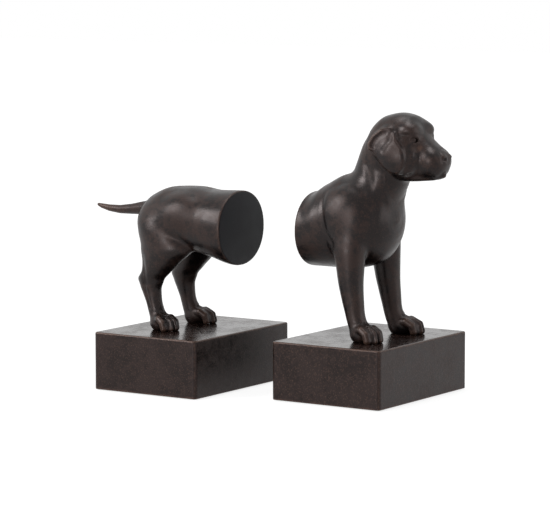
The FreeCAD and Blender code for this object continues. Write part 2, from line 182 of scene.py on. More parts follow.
    def flap(self, outline, aside, thick, blend):
        """Thin hanging flap: an outline of (x, z) points, and how far aside it hangs as (z, y) points."""
        p = np.array(outline, float)
        for _ in range(2):                  # cuts the corners twice
            after = np.roll(p, -1, 0)
            p = np.stack([0.75 * p + 0.25 * after, 0.25 * p + 0.75 * after], 1).reshape(-1, 2)
        far = np.array(sorted(aside), float)
        low = (p[:, 0].min(), far[:, 1].min(), p[:, 1].min())
        high = (p[:, 0].max(), far[:, 1].max(), p[:, 1].max())
        part, (x, y, z) = self.window(low, high, thick + blend + 3)
        rim, side = np.inf, 1.0
        for a, b in zip(p, np.roll(p, -1, 0)):
            d = b - a
            t = np.clip(((x - a[0]) * d[0] + (z - a[1]) * d[1]) / (d @ d), 0, 1)
            rim = np.minimum(rim, np.hypot(x - a[0] - t * d[0], z - a[1] - t * d[1]))
            crossed = ((a[1] > z) != (b[1] > z)) & (x < d[0] * (z - a[1]) / (d[1] if d[1] else 1e-9) + a[0])
            side = np.where(crossed, -side, side)
        rim = rim * side + thick
        flat = y - glide(z, far[:, 0], far[:, 1])
        level = np.hypot(np.maximum(rim, 0), flat) - thick
        self.join(part, level, blend)

    def stroke(self, points, radius, depth):
        """Groove (depth above zero) or ridge (below zero) drawn over the skin."""
        p = np.array(points, float)
        part, spots = self.window(p.min(0), p.max(0), 2.6 * radius)
        self.depth[part] += depth * np.exp(-(self.along(spots, points, [0.0] * len(points)) / radius) ** 2)

    def trim(self, axis, at, side, blend):
        """Flat face: takes off what lies past `at`, with a slightly rounded rim."""
        shape = [1, 1, 1]
        shape[axis] = -1
        past = (self.axes[axis].reshape(shape) - at) * side
        mix = np.clip(0.5 - 0.5 * (self.depth - past) / blend, 0, 1)
        self.depth = self.depth + (past - self.depth) * mix + blend * mix * (1 - mix)


def softened(field, rounds):
    """Blurs the field over neighbouring steps."""
    for _ in range(rounds):
        for axis in range(3):
            wide = np.pad(field, [(1, 1) if a == axis else (0, 0) for a in range(3)], mode="edge")
            count = field.shape[axis]
            parts = [np.take(wide, range(k, k + count), axis) for k in range(3)]
            field = (parts[0] + 2 * parts[1] + parts[2]) / 4
    return field


def swelling(field):
    """How much the skin swells (above zero) or dips (below zero), per millimetre."""
    return sum(np.gradient(np.gradient(field, GRAIN, axis=a), GRAIN, axis=a) for a in range(3))


def cast(name, clay, shift, hand_wear_and_highlight):
    """Skins the clay with even quads, in metres, and stores how the skin swells and dips, where hands
    rub it, and where a highlight is painted as rubbed metal: spots of (centre, radius, strength), on both sides."""
    both = np.concatenate([clay.depth[:, :0:-1, :], clay.depth], 1)
    start = np.array([clay.axes[0][0], -clay.axes[1][-1], clay.axes[2][0]])
    inside = both < 0
    size = [n - 1 for n in both.shape]
    corners = [(i, j, k) for i in (0, 1) for j in (0, 1) for k in (0, 1)]
    count = sum(inside[i:i + size[0], j:j + size[1], k:k + size[2]].astype(np.int8) for i, j, k in corners)
    cells = np.argwhere((count > 0) & (count < 8))
    number = np.full(size, -1)
    number[tuple(cells.T)] = np.arange(len(cells))
    total, hits = np.zeros((len(cells), 3)), np.zeros(len(cells))
    for corner in corners:
        for axis in range(3):
            if corner[axis]:
                continue
            near = cells + corner
            next_one = near.copy()
            next_one[:, axis] += 1
            here, there = both[tuple(near.T)], both[tuple(next_one.T)]
            cross = (here < 0) != (there < 0)
            spot = np.tile(np.array(corner, float), (len(cells), 1))
            spot[:, axis] += np.where(cross, here / np.where(cross, here - there, 1), 0)
            total += spot * cross[:, None]
            hits += cross
    points = cells + total / hits[:, None]
    faces = []
    for axis in range(3):
        u, v = (axis + 1) % 3, (axis + 2) % 3
        low = [slice(1, n) for n in size]
        low[axis] = slice(0, size[axis])
        high = list(low)
        high[axis] = slice(1, size[axis] + 1)
        edge = np.argwhere(inside[tuple(low)] != inside[tuple(high)])
        edge[:, [u, v]] += 1
        ring = []
        for du, dv in ((1, 1), (0, 1), (0, 0), (1, 0)):
            cell = edge.copy()
            cell[:, u] -= du
            cell[:, v] -= dv
            ring.append(number[tuple(cell.T)])
        ring = np.stack(ring, 1)
        inwards = ~inside[tuple(edge.T)]
        ring[inwards] = ring[inwards][:, ::-1]
        faces.append(ring)
    skin = points * GRAIN + start
    mesh = bpy.data.meshes.new(name)
    mesh.from_pydata(((skin + np.array(shift)) * MM).tolist(), [], np.concatenate(faces).tolist())
    mesh.shade_smooth()

    def store(label, values):
        mesh.attributes.new(label, "FLOAT", "POINT").data.foreach_set("value", values.astype(np.float32))

    nearest = tuple(np.round(points).astype(int).T)
    field = both
    for label, rounds in (("detail", 2), ("form", 8)):
        field = softened(field, rounds)
        store(label, swelling(field)[nearest])
    skin[:, 1] = np.abs(skin[:, 1])
    # rubbed spots; the one on the muzzle is a painted highlight
    wear = np.zeros(len(skin))
    for centre, radius, strength in hand_wear_and_highlight:
        wear = np.maximum(wear, strength * np.exp(-(((skin - np.array(centre)) / radius) ** 2).sum(1)))
    store("hand_wear_and_highlight", wear)
    piece = bpy.data.objects.new(name, mesh)
    bpy.context.scene.collection.objects.link(piece)
    return piece


def paw(clay, heel_x, stance, length, width, height, splay):
    """Foot with four long knuckled toes, turned outwards about its heel; its edge rolls under. Its
    spots are shares of its length, half width and height."""
    turn = math.radians(splay)
    ahead = np.array((math.cos(turn), math.sin(turn), 0))
    aside = np.array((-math.sin(turn), math.cos(turn), 0))

    def spot(forward, sideways, up):
        return (np.array((heel_x, stance, BLOCK_TOP)) + ahead * forward * length
                + aside * sideways * width / 2 + np.array((0, 0, up * height)))

    clay.egg(spot(0.38, 0, 0.34), (length * 0.38, width * 0.47, height * 0.44), 3.0, splay)
    clay.egg(spot(0.40, 0, 0.58), (length * 0.27, width * 0.34, height * 0.38), 3.0, splay, 22)
    radius = width * 0.158
    for sideways, forward in ((-0.74, -0.05), (-0.25, 0.07), (0.25, 0.07), (0.74, -0.05)):
        root = spot(0.34 + forward, sideways * 0.70, 0.62)
        knuckle = spot(0.60 + forward, sideways * 0.98, 0.64)
        bend = spot(0.77 + forward, sideways * 1.03, 0.46)
        tip = spot(0.83 + forward, sideways * 1.03, 0.15)
        clay.cord([root, knuckle, bend, tip], [radius * 0.9, radius * 1.2, radius * 1.25, radius * 1.1], 1.0)
    for sideways in (-0.49, 0.0, 0.49):
        clay.stroke([spot(0.42, sideways * 0.74, 0.94), spot(0.70, sideways * 0.98, 0.88),
                     spot(0.93, sideways * 1.04, 0.50), spot(0.96, sideways * 1.04, 0.05)], 0.9, 1.5)


def node(tree, kind, inputs=(), **settings):
    """Adds a shader node; `inputs` gives each socket a value or another node's output."""
    one = tree.nodes.new("ShaderNode" + kind)
    for name, value in settings.items():
        setattr(one, name, value)
    for socket, value in dict(inputs).items():
        if isinstance(value, bpy.types.NodeSocket):
            tree.links.new(value, one.inputs[socket])
        else:
            one.inputs[socket].default_value = value
    return one


def maths(tree, operation, *values):
    return node(tree, "Math", dict(enumerate(values)), operation=operation).outputs[0]


def vectors(tree, operation, inputs):
    return node(tree, "VectorMath", inputs, operation=operation).outputs[0]


def between(tree, value, low, high, first=0.0, last=1.0):
    """Runs smoothly from `first` at low to `last` at high."""
    sockets = {"Value": value, "From Min": low, "From Max": high, "To Min": first, "To Max": last}
    return node(tree, "MapRange", sockets, interpolation_type="SMOOTHSTEP").outputs[0]


def mixed(tree, amount, first, second):
    return node(tree, "Mix", {0: amount, 6: first, 7: second}, data_type="RGBA").outputs[2]


def noise(tree, where, size, detail=2.0):
    """Noise whose blots are about `size` millimetres across."""
    return node(tree, "TexNoise", {"Vector": where, "Scale": 1 / (size * MM), "Detail": detail}).outputs[0]


def group(name, inputs, outputs):
    """Starts a node group: its tree, its inputs as given inside, and its results."""
    tree = bpy.data.node_groups.new(name, "ShaderNodeTree")
    for label, kind in inputs.items():
        tree.interface.new_socket(label, in_out="INPUT", socket_type="NodeSocket" + kind)
    for label, kind in outputs.items():
        tree.interface.new_socket(label, in_out="OUTPUT", socket_type="NodeSocket" + kind)
    return tree, tree.nodes.new("NodeGroupInput").outputs, tree.nodes.new("NodeGroupOutput").inputs


def finish(name, **constants):
    """Starts a material: its tree, its Principled shader, and object coordinates."""
    material = bpy.data.materials.new(name)
    material.use_nodes = True
    tree = material.node_tree
    tree.nodes.clear()
    shader = node(tree, "BsdfPrincipled", {label.replace("_", " "): value for label, value in constants.items()})
    node(tree, "OutputMaterial", {"Surface": shader.outputs[0]})
    return material, tree, shader, node(tree, "TexCoord").outputs["Object"]


def bumped(tree, shader, height, rise):
    """Feeds a height of 0 to 1 to the shader as a bump `rise` millimetres high."""
    bump = node(tree, "Bump", {"Height": height, "Distance": rise * MM, "Strength": 1.0})
    tree.links.new(bump.outputs[0], shader.inputs["Normal"])


# blots of black and brown, bare specks, and bare metal where the casting is rubbed; on the figures the
# bare metal colour also paints highlights on the muzzle and along the rim of the ground face
patina, given, result = group(
    "patina",
    {"Position": "Vector", "Bare_amount": "Float", "Hollow": "Float", "Speckle": "Float", "Start": "Float",
     "Dark": "Color", "Brown": "Color", "Bare": "Color"},
    {"Color": "Color", "Roughness": "Float", "Height": "Float"})
clouds = noise(patina, given["Position"], 15, 3)
mottle = noise(patina, given["Position"], 3.2, 3)
speck = noise(patina, given["Position"], 0.8)
grit = noise(patina, given["Position"], 0.35)
share = maths(patina, "ADD", maths(patina, "MULTIPLY", clouds, 0.55), maths(patina, "MULTIPLY", mottle, 0.45))
share = maths(patina, "MULTIPLY_ADD", given["Bare_amount"], 0.18, share)
browning = between(patina, share, given["Start"], maths(patina, "ADD", given["Start"], 0.16))
colour = mixed(patina, browning, given["Dark"], given["Brown"])
colour = mixed(patina, between(patina, speck, 0.52, 0.70, 0.0, given["Speckle"]), colour, given["Bare"])
bare_mask = maths(patina, "ADD", given["Bare_amount"], maths(patina, "MULTIPLY_ADD", mottle, 1.1, -0.62))
bare_mask = maths(patina, "ADD", bare_mask, maths(patina, "MULTIPLY_ADD", speck, 0.9, -0.45))
bare_mask = maths(patina, "MULTIPLY", between(patina, bare_mask, 0.25, 0.85), given["Bare_amount"])
colour = mixed(patina, maths(patina, "MULTIPLY", bare_mask, 0.75), colour, given["Bare"])
dimmed = vectors(patina, "SCALE", {0: colour, "Scale": between(patina, given["Hollow"], 0, 1, 1.0, 0.35)})
patina.links.new(dimmed, result["Color"])
dulled = between(patina, given["Hollow"], 0, 1, 0, 0.15)
rough = maths(patina, "ADD", between(patina, share, 0.35, 0.65, 0.28, 0.44), dulled)
patina.links.new(maths(patina, "MULTIPLY_ADD", bare_mask, -0.08, rough), result["Roughness"])
height = maths(patina, "MULTIPLY_ADD", speck, 0.5, maths(patina, "MULTIPLY", mottle, 0.25))
patina.links.new(maths(patina, "MULTIPLY_ADD", grit, 0.25, height), result["Height"])


def casting_finish():
    """The patina on a figure: black in the hollows, rubbed where its skin swells and where hands go. Bare colour
    on sharp edges is wear and also a painted highlight along the rim of the ground face; the muzzle spot is a
    painted highlight too.
    """
    material, tree, shader, where = finish(
        "patinated_casting", Metallic=0.0, Specular_IOR_Level=0.27, Specular_Tint=(1.0, 0.86, 0.84, 1))
    detail, form, hand_wear_and_highlight = [node(tree, "Attribute", attribute_name=label).outputs["Fac"]
                             for label in ("detail", "form", "hand_wear_and_highlight")]
    # bare colour where the skin swells is wear; on sharp edges it is also a painted highlight on the ground face's
    # rim
    raised_wear_and_rim_glint = maths(tree, "MAXIMUM", between(tree, form, 0.15, 0.70), between(tree, detail, 0.6, 1.3, 0.0, 0.8))
    coat = node(tree, "Group", {
        "Position": where, "Bare_amount": maths(tree, "MAXIMUM", raised_wear_and_rim_glint, hand_wear_and_highlight),
        "Hollow": between(tree, detail, -0.08, -0.7), "Speckle": 0.25, "Start": 0.43,
        "Dark": (0.0012, 0.0011, 0.0014, 1), "Brown": (0.0125, 0.0066, 0.0053, 1),
        "Bare": (0.0480, 0.0270, 0.0190, 1)}, node_tree=patina)
    tree.links.new(coat.outputs["Color"], shader.inputs["Base Color"])
    tree.links.new(coat.outputs["Roughness"], shader.inputs["Roughness"])
    bumped(tree, shader, coat.outputs["Height"], 0.07)
    return material


def ground_finish():
    """The waist's ground face: blued flat metal with the fine lines of the grinding belt."""
    material, tree, shader, where = finish("ground_face", Metallic=0.0, Specular_IOR_Level=0.17)
    belt = node(tree, "Mapping", {"Vector": where, "Scale": (1.0, 1.0, 0.03)}).outputs[0]
    lines = noise(tree, belt, 0.4, 3)
    cloud = noise(tree, where, 9, 3)
    tone = maths(tree, "MULTIPLY_ADD", lines, 0.3, maths(tree, "MULTIPLY", cloud, 0.7))
    blue_black, grey_black = (0.0022, 0.0026, 0.0044, 1), (0.0066, 0.0060, 0.0080, 1)
    tree.links.new(mixed(tree, between(tree, tone, 0.35, 0.65), blue_black, grey_black), shader.inputs["Base Color"])
    tree.links.new(between(tree, tone, 0.3, 0.7, 0.40, 0.52), shader.inputs["Roughness"])
    bumped(tree, shader, lines, 0.015)
    return material


def dress(piece, cut_x, finishes):
    """Gives a figure its patina, and its flat face at the waist the ground finish."""
    near, square = 0.2, 0.97
    for material in finishes:
        piece.data.materials.append(material)
    for face in piece.data.polygons:
        on_cut = abs(face.center.x / MM - cut_x) < near and abs(face.normal.x) > square
        face.material_index = int(on_cut)


def waist(x):
    """The dog's section at the waist: (x, top, bottom, half width, fullness)."""
    return (x, 119.4, 75.0, 24.4, 2.1)


def figure_shift(end):
    """Middle of a bookend along X and of its figure along Y, in millimetres, and no lift."""
    low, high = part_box(end + "_block")
    figure_low, figure_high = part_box(end + "_figure")
    return ((low.x + high.x) / 2 / MM, (figure_low.y + figure_high.y) / 2 / MM, 0)


rear = Clay(CUT_X, (-72, 0, 33), (CUT_X + PAST_CUT, 34, 124))
# rump and loins
rear.trunk([
    (-33.0, 99.5, 97.0, 1.6, 2.0), (-32.7, 101.6, 94.8, 4.4, 2.0), (-31.9, 104.6, 91.4, 8.3, 2.0),
    (-29.0, 110.0, 86.0, 14.5, 2.0), (-22.0, 115.8, 81.0, 19.5, 2.1),
    (-10.0, 119.9, 80.5, 22.5, 2.2), (5.0, 120.6, 81.5, 23.3, 2.2), (20.0, 119.0, 79.0, 23.8, 2.2),
    waist(CUT_X - 1), waist(CUT_X + PAST_CUT)], 1.0)
# hind leg
rear.limb([
    (108, -12.0, 11.0, 10.0, 6.0), (101, -12.0, 14.0, 14.5, 9.5), (93, -10.5, 15.0, 15.5, 10.4),
    (84, -6.9, 15.3, 17.6, 10.2), (75.5, -10.2, 16.4, 12.6, 8.4), (69.5, -13.5, 17.0, 9.7, 6.8),
    (64.5, -16.8, 17.4, 8.6, 5.7), (60.5, -16.8, 17.5, 7.0, 5.2), (56, -15.9, 17.5, 5.9, 4.8),
    (50, -14.2, 17.5, 5.0, 4.6), (43.5, -12.0, 17.5, 5.2, 4.8), (39, -10.6, 17.5, 5.0, 4.6),
    (35.5, -10.0, 17.5, 3.8, 3.4)], 3.0)
# tail, foot, and the muscles and hollows of the leg
rear.cord([(-24, 0, 106.0), (-34, 0, 105.4), (-43, 0, 104.3), (-52, 0, 103.6), (-60, 0, 104.0), (-66, 0, 105.0),
           (-68.6, 0, 105.7)], [5.4, 4.1, 3.2, 2.6, 2.1, 1.5, 1.0], 2.5)
paw(rear, -15.2, 17.5, 18.8, 12.6, 11.0, 13.0)
rear.egg((3, 15, 104), (15, 9, 11), 5.0, 0, -10)                                        # hip
rear.stroke([(-20, 23.5, 78), (-18, 22.5, 70), (-17, 22, 63)], 1.8, 0.6)                # hollow before the tendon
rear.cord([(-24, 17.4, 64.5), (-18.6, 17.4, 55), (-15.5, 17.4, 47)], [1.6, 1.5, 1.4], 1.5)  # tendon of the hock
rear.stroke([(-18.5, 22.5, 62), (-16.5, 22.0, 54), (-14.5, 21.5, 48)], 1.0, 0.7)        # hollow beside it
rear.stroke([(17, 21, 84.5), (11, 22.5, 79), (4, 22.5, 72)], 1.5, -0.5)                 # front edge of the thigh
rear.stroke([(27, 18, 79), (20, 20, 81.5), (17.5, 21, 85)], 1.3, 0.9)                   # fold of the flank
rear.trim(0, CUT_X, 1, CUT_RIM)
rear.trim(2, BLOCK_TOP, -1, SOLE_RIM)
rear_dog = cast("rear_dog_half", rear, figure_shift("rear"), [
    ((-50, 0, 104), (22, 6, 6), 0.55),                                                  # tail
    ((-14, 20, 56), (5, 6, 12), 0.45), ((-8, 20, 44), (8, 8, 5), 0.35)])                # hock, foot
figure_finishes = (casting_finish(), ground_finish())
dress(rear_dog, figure_shift("rear")[0] + CUT_X, figure_finishes)
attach(rear_dog, "rear_bookend")
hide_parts("rear_figure")

# ============================================================ front half of the dog
# The other iron casting: ribs, shoulders, neck, head and two fore legs, with the same ground face,
# patina and screws. The eyes, nose, lips, ears and toes are cut into the pattern.

front = Clay(-CUT_X, (-CUT_X - PAST_CUT, 0, 33), (57, 36, 171))
# ribs and chest
front.trunk([
    waist(-CUT_X - PAST_CUT), waist(-CUT_X + 1), (-25.0, 125.0, 75.0, 25.2, 2.1), (-12.0, 130.8, 74.8, 25.3, 2.1),
    (0.0, 131.0, 76.5, 24.6, 2.1), (9.0, 128.0, 80.0, 21.5, 2.0), (15.0, 122.0, 87.5, 15.5, 2.0),
    (17.6, 115.5, 94.5, 9.6, 2.0), (18.8, 110.2, 99.8, 5.2, 2.0), (19.3, 106.2, 103.8, 1.6, 2.0)], 1.0)
# fore leg
front.limb([
    (124, -3.0, 11.0, 7.0, 5.0), (114, -4.0, 15.0, 12.0, 8.0), (102, -3.5, 17.0, 13.5, 9.4),
    (90, -2.2, 18.8, 11.3, 9.2), (80, -0.6, 20.2, 8.8, 8.0), (69, 0.3, 20.8, 7.6, 7.0), (58, 2.0, 21.0, 6.6, 6.0),
    (50, 3.6, 21.0, 5.9, 5.6), (43.5, 5.8, 21.0, 6.0, 5.8), (39, 7.4, 21.0, 5.6, 5.2),
    (35.5, 8.0, 21.0, 4.2, 3.8)], 2.5)
# neck
front.limb([
    (106, -3.6, 0, 17.5, 20.0), (119, 2.4, 0, 18.7, 18.6), (130, 8.2, 0, 17.8, 15.6), (140, 10.4, 0, 16.0, 14.4),
    (149, 11.8, 0, 13.6, 13.6), (156, 15.0, 0, 11.4, 12.0)], 5.0)
# skull and muzzle
front.trunk([
    (2.8, 155.0, 140.0, 7.0, 2.0), (6.4, 161.2, 133.0, 12.5, 2.1), (14.0, 166.2, 129.2, 16.0, 2.2),
    (23.0, 167.8, 128.3, 16.8, 2.3), (30.5, 166.5, 128.3, 15.6, 2.3), (35.3, 162.6, 128.7, 12.6, 2.3),
    (38.4, 156.2, 129.2, 10.8, 2.4), (43.1, 151.6, 129.8, 9.8, 2.5), (48.1, 148.0, 131.1, 8.5, 2.4),
    (51.3, 145.7, 134.8, 6.4, 2.2), (52.9, 143.6, 138.6, 3.4, 2.0)], 2.5)
front.egg((49.8, 2.9, 142.8), (3.65, 3.7, 2.7), 0.7, 0, 12)                             # nose pad
front.egg((32.9, 8.0, 158.4), (5.2, 5.6, 3.9), 3.4, 0, 25)                              # brow
front.stroke([(24.6, 15.3, 157.5), (27.1, 15.2, 155.6), (32.9, 13.0, 155.9), (36.2, 9.8, 156.8)],
             1.3, 0.55)                                                                 # crease under it
front.scoop((36.7, 10.7, 153.0), (2.7, 3.6, 2.6), 0.8, 38)                              # eye socket
front.egg((34.7, 9.1, 152.8), (2.2, 2.3, 2.1), 0.2, 38)                                 # eyeball
front.cord([(34.2, 11.8, 152.9), (35.2, 11.4, 154.7), (36.3, 10.2, 155.2), (37.6, 8.8, 154.5), (38.3, 7.8, 152.9)],
           [0.5, 0.75, 0.8, 0.75, 0.5], 0.8)                                            # upper lid
front.cord([(34.2, 11.8, 152.8), (35.4, 11.7, 151.2), (36.8, 10.6, 150.6), (37.9, 9.2, 151.1), (38.3, 8.0, 152.7)],
           [0.4, 0.65, 0.7, 0.65, 0.4], 0.8)                                            # lower lid
front.egg((30, 11.5, 141.5), (9.0, 5.6, 9.0), 3.0, 0, 20)                               # jaw muscle
front.egg((43.4, 5.8, 140.6), (7.2, 5.2, 6.9), 2.0, 10)                                 # upper lip
front.egg((47.3, 3.6, 137.0), (3.4, 3.9, 4.8), 1.2)                                     # front of the lip
front.cord([(50.2, 0, 132.6), (45, 3.0, 131.6), (36, 5.0, 131.0), (28, 6.0, 130.8)],
           [1.6, 2.0, 2.2, 2.2], 1.5)                                                   # lower jaw
front.stroke([(54.6, 0, 141.0), (54, 0, 136), (52.4, 0, 132)], 0.8, 1.2)                # split of the lip
front.scoop((53.5, 3.3, 142.0), (1.6, 1.2, 1.1), 0.4)                                   # nostril
front.stroke([(53.6, 4.6, 139.4), (52.0, 5.3, 142.6), (50.0, 5.0, 146.6), (48.4, 0, 148.4)],
             0.8, 0.6)                                                                  # crease round the nose
front.stroke([(52.8, 1.5, 132.4), (51.4, 5.0, 131.9), (48, 8.2, 131.6), (43, 10.2, 131.4), (38, 11.0, 131.2),
              (34.4, 12.6, 133.2)], 0.8, 1.1)                                           # mouth
for k in range(5):                                                                      # wrinkles of the cheek
    front.stroke([(33.6 + 1.5 * k, 13.4 - 0.3 * k, 147.5 - 0.8 * k), (33.2 + 1.2 * k, 14.6, 142 - 0.6 * k),
                  (34.2 + 1.1 * k, 14.4, 137.5 + 0.3 * k)], 0.7, 0.28)
# ear
front.flap([(24.9, 158.6), (21.2, 160.8), (15.4, 158.0), (10.6, 153.0), (8.8, 148.0), (13.0, 145.2), (17.2, 140.4),
            (20.6, 136.0), (25.0, 133.4), (30.0, 133.0), (33.2, 136.0), (34.2, 142.0), (33.0, 147.4), (29.0, 151.4),
            (27.2, 154.0)], [(162, 13.2), (157, 14.9), (150, 16.4), (143, 17.1), (138, 17.0), (133, 16.2)], 1.55, 3.0)
front.egg((25.5, 16.6, 143.5), (7.5, 3.6, 9.0), 2.5, 0, -18)                            # swell of the ear
front.cord([(23.0, 15.0, 159.0), (18.0, 16.4, 158.2), (13.2, 17.4, 154.4), (10.9, 18.0, 150.4), (11.2, 18.2, 147.8),
            (13.6, 18.2, 147.4)], [0.7, 1.1, 1.2, 1.2, 1.1, 0.6], 0.9)                  # rolled edge of the ear
front.stroke([(21.0, 17.4, 157.0), (17.0, 18.4, 154.8), (14.2, 19.0, 151.4), (13.6, 19.2, 149.0)],
             1.1, 0.9)                                                                  # hollow beside it
front.stroke([(24.5, 17.2, 157.0), (24.2, 18.8, 152.5), (20.5, 20.0, 147.0)], 1.6, 0.7)  # fold at its root
front.cord([(26.2, 15.6, 156.5), (27.8, 17.3, 152.4), (31.4, 18.2, 148.0)], [0.5, 0.8, 0.5], 2.0)  # front edge
front.stroke([(29.4, 16.6, 153.4), (34.0, 16.2, 148.2), (35.2, 16.6, 142.0), (34.2, 16.8, 135.8)],
             1.4, 0.35)                                                                 # shadow line before the ear
front.stroke([(34.2, 16.8, 135.8), (30.0, 17.4, 131.6), (24.6, 17.6, 132.0), (19.4, 18.2, 136.0)],
             1.2, 0.9)                                                                  # and under it
# foot, shoulder and breast
paw(front, 2.0, 21.0, 21.0, 13.4, 11.8, 12.0)
front.stroke([(-19.5, 20, 122), (-17, 25.5, 109.5), (-14.8, 25.8, 99.2), (-10.0, 25, 92.1), (-9, 23.5, 83.5)],
             1.5, 1.0)                                                                  # crease behind the shoulder
front.egg((-5, 16.5, 106), (17, 10.4, 18), 3.0, 0, -8)                                  # shoulder
front.egg((2, 0, 104.5), (17.2, 22.0, 24.0), 3.0)                                       # breast
front.stroke([(6.4, 15.5, 137.7), (11.0, 17.5, 128), (13.0, 19.5, 121)], 2.0, 1.0)      # hollow of the throat
front.trim(0, -CUT_X, -1, CUT_RIM)
front.trim(2, BLOCK_TOP, -1, SOLE_RIM)
front_dog = cast("front_dog_half", front, figure_shift("front"), [
    # the muzzle spot is a painted highlight, laid on as bare rubbed metal
    ((39.8, 9.2, 148.4), (1.9, 3.0, 2.7), 1.0), ((44.5, 8, 140.5), (6, 6, 4), 0.75),    # under the eye, muzzle
    ((5, 24, 62), (7, 8, 14), 0.4), ((-2, 24, 84), (10, 8, 6), 0.4),                    # fore leg, elbow
    ((24, 16, 146), (9, 6, 8), 0.35), ((12, 24, 43), (9, 8, 5), 0.35)])                 # ear, foot
dress(front_dog, figure_shift("front")[0] - CUT_X, figure_finishes)
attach(front_dog, "front_bookend")
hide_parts("front_figure")

# ============================================================ blocks
# Two hollow iron castings, flat sides and slightly rounded edges, with the same patina as the dog.
# Handling rubs the edges down to warm metal, and the waxed tops shine more than the sides.

# how near a spot is to an edge: the second smallest of its three distances to the block's sides
edge_wear, given, result = group(
    "edge_wear", {"Position": "Vector", "Low": "Vector", "High": "Vector", "Width": "Float"}, {"Wear": "Float"})
half_size = vectors(edge_wear, "SCALE", {
    0: vectors(edge_wear, "SUBTRACT", {0: given["High"], 1: given["Low"]}), "Scale": 0.5})
middle = vectors(edge_wear, "ADD", {0: given["Low"], 1: half_size})
away = vectors(edge_wear, "ABSOLUTE", {0: vectors(edge_wear, "SUBTRACT", {0: given["Position"], 1: middle})})
inset = node(edge_wear, "SeparateXYZ", {0: vectors(edge_wear, "SUBTRACT", {0: half_size, 1: away})}).outputs
nearer = maths(edge_wear, "MINIMUM", inset[0], inset[1])
farther = maths(edge_wear, "MAXIMUM", inset[0], inset[1])
edge = maths(edge_wear, "MAXIMUM", nearer, maths(edge_wear, "MINIMUM", farther, inset[2]))
edge_wear.links.new(between(edge_wear, maths(edge_wear, "DIVIDE", edge, given["Width"]), 1.0, 0.15), result["Wear"])

ENDS = ("rear", "front")
SHAKE = 0.0016               # how far the noise moves the worn edge, m; its middle is half of that


def repaint(names, material):
    """Gives the modelled pieces a finish in place of their plain ones."""
    for name in names:
        for slot in bpy.data.objects[name].material_slots:
            slot.material = material


for end in ENDS:
    low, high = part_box(end + "_block")
    material, tree, shader, where = finish(
        "patinated_block_" + end, Metallic=0.0, Specular_IOR_Level=0.25, Specular_Tint=(1.0, 0.84, 0.82, 1))
    wobble = node(tree, "TexNoise", {"Vector": where, "Scale": 1 / (6 * MM)}).outputs["Color"]
    middling = Vector((SHAKE / 2,) * 3)
    wear = node(tree, "Group", {
        "Position": vectors(tree, "MULTIPLY_ADD", {0: wobble, 1: (SHAKE,) * 3, 2: where}),
        "Low": Vector(low) + middling, "High": Vector(high) + middling, "Width": 1.7 * MM}, node_tree=edge_wear)
    coat = node(tree, "Group", {
        "Position": where, "Bare_amount": wear.outputs["Wear"], "Hollow": 0.0, "Speckle": 0.4, "Start": 0.38,
        "Dark": (0.0042, 0.0024, 0.0022, 1), "Brown": (0.0095, 0.0052, 0.0045, 1),
        "Bare": (0.0700, 0.0400, 0.0290, 1)}, node_tree=patina)
    tree.links.new(coat.outputs["Color"], shader.inputs["Base Color"])
    facing_up = node(tree, "SeparateXYZ", {0: node(tree, "TexCoord").outputs["Normal"]}).outputs[2]
    polish = between(tree, facing_up, 0.6, 0.95, 0.0, -0.15)
    tree.links.new(maths(tree, "ADD", coat.outputs["Roughness"], polish), shader.inputs["Roughness"])
    flatter = between(tree, facing_up, 0.6, 0.95, 1.0, 0.35)
    bumped(tree, shader, maths(tree, "MULTIPLY", coat.outputs["Height"], flatter), 0.12)
    repaint([end + "_block"], material)

# ============================================================ screws and washers
# Slotted zinc-plated steel: pan-head screws with plain washers hold the legs from inside the block,
# and small countersunk screws hold the bottom cover. The plating is a fine dull crystal.

material, tree, shader, where = finish("zinc_plate", Metallic=1.0)
crystal = node(tree, "TexVoronoi", {"Vector": where, "Scale": 1 / (0.7 * MM)}).outputs["Color"]
flake = node(tree, "SeparateColor", {0: crystal}).outputs[0]
haze = noise(tree, where, 2.5, 3)
plate = mixed(tree, haze, (0.46, 0.47, 0.49, 1), (0.62, 0.61, 0.57, 1))
stain = between(tree, noise(tree, where, 1.4, 3), 0.58, 0.72, 0.0, 0.45)
tree.links.new(mixed(tree, stain, plate, (0.24, 0.20, 0.15, 1)), shader.inputs["Base Color"])
rough = maths(tree, "MULTIPLY_ADD", flake, 0.16, maths(tree, "MULTIPLY_ADD", haze, 0.2, 0.18))
tree.links.new(rough, shader.inputs["Roughness"])
pitting = maths(tree, "MULTIPLY_ADD", noise(tree, where, 0.4), 0.7, maths(tree, "MULTIPLY", flake, 0.3))
bumped(tree, shader, pitting, 0.03)
repaint([end + part for end in ENDS for part in ("_leg_screws", "_leg_washers", "_cover_screws")], material)

# ============================================================ bottom covers and felts
# A black painted steel plate closes each block from below, let into the rim. A pad of wool felt is
# glued under it, cut with a knife, so that its edge is a little uneven and furry.

material, tree, shader, where = finish("black_paint", Metallic=0.0, Specular_IOR_Level=0.5)
peel = noise(tree, where, 1.1)
scuff = between(tree, noise(tree, where, 7, 5), 0.56, 0.70)
tree.links.new(mixed(tree, scuff, (0.016, 0.016, 0.017, 1), (0.034, 0.033, 0.032, 1)), shader.inputs["Base Color"])
rough = maths(tree, "MULTIPLY_ADD", scuff, 0.22, maths(tree, "MULTIPLY_ADD", peel, 0.1, 0.33))
tree.links.new(rough, shader.inputs["Roughness"])
bumped(tree, shader, peel, 0.05)
repaint([end + "_cover" for end in ENDS], material)

